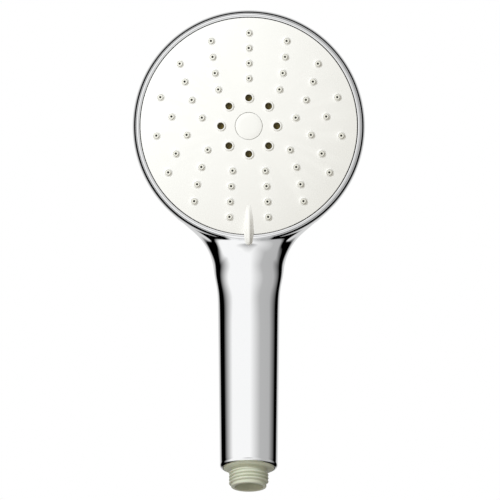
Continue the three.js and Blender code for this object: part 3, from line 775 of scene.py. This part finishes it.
# %% Cartridges in the connector
strainer = turned("filter_screen", [(6.2, 11.0), (7.0, 11.0), (7.2, 11.2), (7.2, 12.2), (6.2, 12.2),
                                    (6.2, 11.0)], 96)
wires = []
for k in range(-5, 6):
    chord = 2 * math.sqrt(6.6 ** 2 - (1.15 * k) ** 2)
    for i in range(2):
        bpy.ops.mesh.primitive_cylinder_add(vertices=10, radius=0.2, depth=chord)
        wire = bpy.context.active_object
        wire.data.transform(Matrix.Rotation(math.pi / 2, 4, "X"))
        wire.data.transform(Matrix.Translation((1.15 * k, 0, 11.45 + 0.3 * i)))
        wires.append(spun(wire, 90 * i))
place(join(strainer, *wires), "handset", "steel", ["filter_screen"])

regulator = turned("flow_regulator_body", [(0, 13), (7.0, 13), (7.2, 13.2), (7.2, 18.8), (7.0, 19), (6.5, 19),
                                           (6.3, 18.8), (6.3, 14.6), (2.2, 14.6), (2.2, 17.4), (1.4, 18.4),
                                           (0, 18.4)], 96)
cut(regulator, ring_of(rod("hole", 0.9, 12, 16, 24), 4.1, 8))
place(regulator, "handset", "acetal", ["flow_regulator_body"])
place(torus("flow_regulator_ring", 4.1, 1.1, 16.2), "handset", "rubber", ["flow_regulator_ring"])

valve = turned("check_valve_body", [(3.4, 22), (7.0, 22), (7.2, 22.2), (7.2, 28), (6.2, 28), (6.2, 29.6),
                                    (7.2, 29.6), (7.2, 36.3), (7.0, 36.5), (5.2, 36.5), (5.2, 24), (4.2, 23.2),
                                    (3.4, 23.2), (3.4, 22)], 96)
spokes = [spun(block("spoke", (3.4, 1.0, 2.4), (4.1, 0, 35.3), 0.15), 120 * i) for i in range(3)]
place(join(valve, sleeve("guide", 1.6, 2.8, 33, 36.5), *spokes), "handset", "acetal", ["check_valve_body"])
poppet = turned("check_poppet", [(0, 23.5), (3.6, 23.5), (4.4, 24.3), (4.5, 24.5), (4.5, 25.2), (4.3, 25.4),
                                 (1.6, 26.0), (1.25, 26.4), (1.25, 35.3), (1.05, 35.5), (0, 35.5)], 64)
place(poppet, "check_poppet", "acetal", ["check_poppet"])
valve_spring = coil("check_valve_spring", 2.2, 0.28, 26.6, 32.6, 4)
place(valve_spring, "handset", "steel", ["check_valve_spring"])
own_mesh(valve_spring)
place(torus("check_valve_o_ring", 6.82, 0.34, 28.8), "handset", "rubber", ["check_valve_o_ring"])

# %% [markdown]
# ## Stage
# A chromed piece shows nothing but its surroundings, so the studio is part of its look: a broad white screen
# from the left, a grey one on the right, a grey card in front, and dark behind for the black edge lines. They
# could be lit boards, but a world that depends on direction only stays even and casts no stray shadow. A soft
# lamp at the upper left shades the white face, and a pale floor lies well below.

# %% Studio nodes


def new_node(kind, **settings):
    node = nodes.new(kind)
    for key_name, value in settings.items():
        setattr(node, key_name, value)
    return node


def maths(operation, a, b=None):
    """A math node fed by sockets or plain numbers."""
    node = new_node("ShaderNodeMath", operation=operation)
    for socket, value in zip(node.inputs, (a, b)):
        if isinstance(value, (int, float)):
            socket.default_value = value
        elif value is not None:
            links.new(value, socket)
    return node.outputs[0]


def ramp(angle, low, high, stops):
    """Brightness by angle in degrees; the first and last stops are at the two ends."""
    node = new_node("ShaderNodeValToRGB")
    items = node.color_ramp.elements
    for at, value in stops:
        spot = (at - low) / (high - low)
        item = items[0] if spot == 0 else items[len(items) - 1] if spot == 1 else items.new(spot)
        item.color = (value, value, value, 1)
    scaled = maths("DIVIDE", maths("SUBTRACT", angle, math.radians(low)), math.radians(high - low))
    links.new(scaled, node.inputs[0])
    return node.outputs["Color"]


# %% Studio light
world = bpy.data.worlds.new("studio")
bpy.context.scene.world = world
world.use_nodes = True
nodes, links = world.node_tree.nodes, world.node_tree.links
nodes.clear()
where = new_node("ShaderNodeTexCoord").outputs["Generated"]
dot = new_node("ShaderNodeVectorMath", operation="DOT_PRODUCT")
dot.inputs[1].default_value = tuple(OUT)
links.new(where, dot.inputs[0])
split = new_node("ShaderNodeSeparateXYZ")
links.new(where, split.inputs[0])
forward = dot.outputs["Value"]
across = maths("ARCTAN2", split.outputs["X"], forward)
away = maths("ARCCOSINE", maths("MINIMUM", maths("MAXIMUM", forward, -1.0), 1.0))
# Brightness against degrees. SCREENS goes round the handle from behind on the left to behind on the right:
# dark, a white screen with a soft edge, a fall to the grey screen, and dark again. CARD goes away from the
# front: a grey card, a wide white, and dark behind. GLOW is the faint light right behind.
SCREENS = [(-180, 0.0), (-112, 0.0), (-72, 1.0), (5, 1.0), (52, 0.49), (90, 0.47), (122, 0.0), (180, 0.0)]
CARD = [(0, 0.49), (9, 0.49), (30, 1.0), (112, 1.0), (119, 0.0), (180, 0.0)]
GLOW = [(0, 0.0), (139, 0.0), (150, 0.68), (180, 0.70)]
screens = maths("MINIMUM", ramp(across, -180, 180, SCREENS), ramp(away, 0, 180, CARD))
room = maths("MAXIMUM", screens, ramp(away, 0, 180, GLOW))
ray = new_node("ShaderNodeLightPath")
soft = maths("MULTIPLY", room, maths("SUBTRACT", 1.0, maths("MULTIPLY", ray.outputs["Is Diffuse Ray"], 0.45)))
light = maths("MAXIMUM", soft, ray.outputs["Is Camera Ray"])
sky = new_node("ShaderNodeBackground")
tone = new_node("ShaderNodeMix", data_type="RGBA")
tone.inputs["A"].default_value = (1, 1, 1, 1)
tone.inputs["B"].default_value = (1.0, 0.935, 0.78, 1)
links.new(ray.outputs["Is Diffuse Ray"], tone.inputs["Factor"])
links.new(tone.outputs["Result"], sky.inputs["Color"])
links.new(light, sky.inputs["Strength"])
links.new(sky.outputs[0], new_node("ShaderNodeOutputWorld").inputs["Surface"])


# %% Lamp


def head_point(x, up, out):
    """A place in metres, from the face's centre: across, up the face, and out in front of it, in mm."""
    return Vector((np.array([x, 0, 0]) + C + UP * up + OUT * out) * 0.001)


key = bpy.data.lights.new("key", "AREA")
key.shape = "DISK"
key.size = 0.13
key.color = (0.90, 0.945, 1.0)
key.energy = 1.35
key_obj = bpy.data.objects.new("key", key)
bpy.context.scene.collection.objects.link(key_obj)
key_obj.location = head_point(-185, 135, 345)
key_obj.rotation_euler = (head_point(0, -20, 0) - key_obj.location).to_track_quat("-Z", "Y").to_euler()
key_obj.visible_glossy = False
key_obj.visible_camera = False

# %% Floor and camera
bpy.ops.mesh.primitive_plane_add(size=8, location=(0, 0, -0.9))
floor = bpy.context.active_object
floor.name = "floor"
pale = bpy.data.materials.new("pale_floor")
pale.use_nodes = True
pale.node_tree.nodes["Principled BSDF"].inputs["Base Color"].default_value = (0.9, 0.9, 0.9, 1)
pale.node_tree.nodes["Principled BSDF"].inputs["Roughness"].default_value = 0.9
floor.data.materials.append(pale)
floor.visible_glossy = False
floor.visible_diffuse = False
floor.visible_shadow = False

camera = bpy.data.cameras.new("camera")
camera.sensor_width = 36
camera.lens = 241
camera.clip_end = 20
eye = bpy.data.objects.new("camera", camera)
bpy.context.scene.collection.objects.link(eye)
aim = head_point(0.65, -66.7, 1800)
eye.matrix_world = Matrix.Translation(aim) @ Matrix((
    (1, 0, 0, 0), (0, UP[1], OUT[1], 0), (0, UP[2], OUT[2], 0), (0, 0, 0, 1)))
bpy.context.scene.camera = eye
bpy.context.scene.view_settings.view_transform = "Standard"
bpy.context.scene.view_settings.look = "None"
print("camera", tuple(round(v, 3) for v in eye.location))
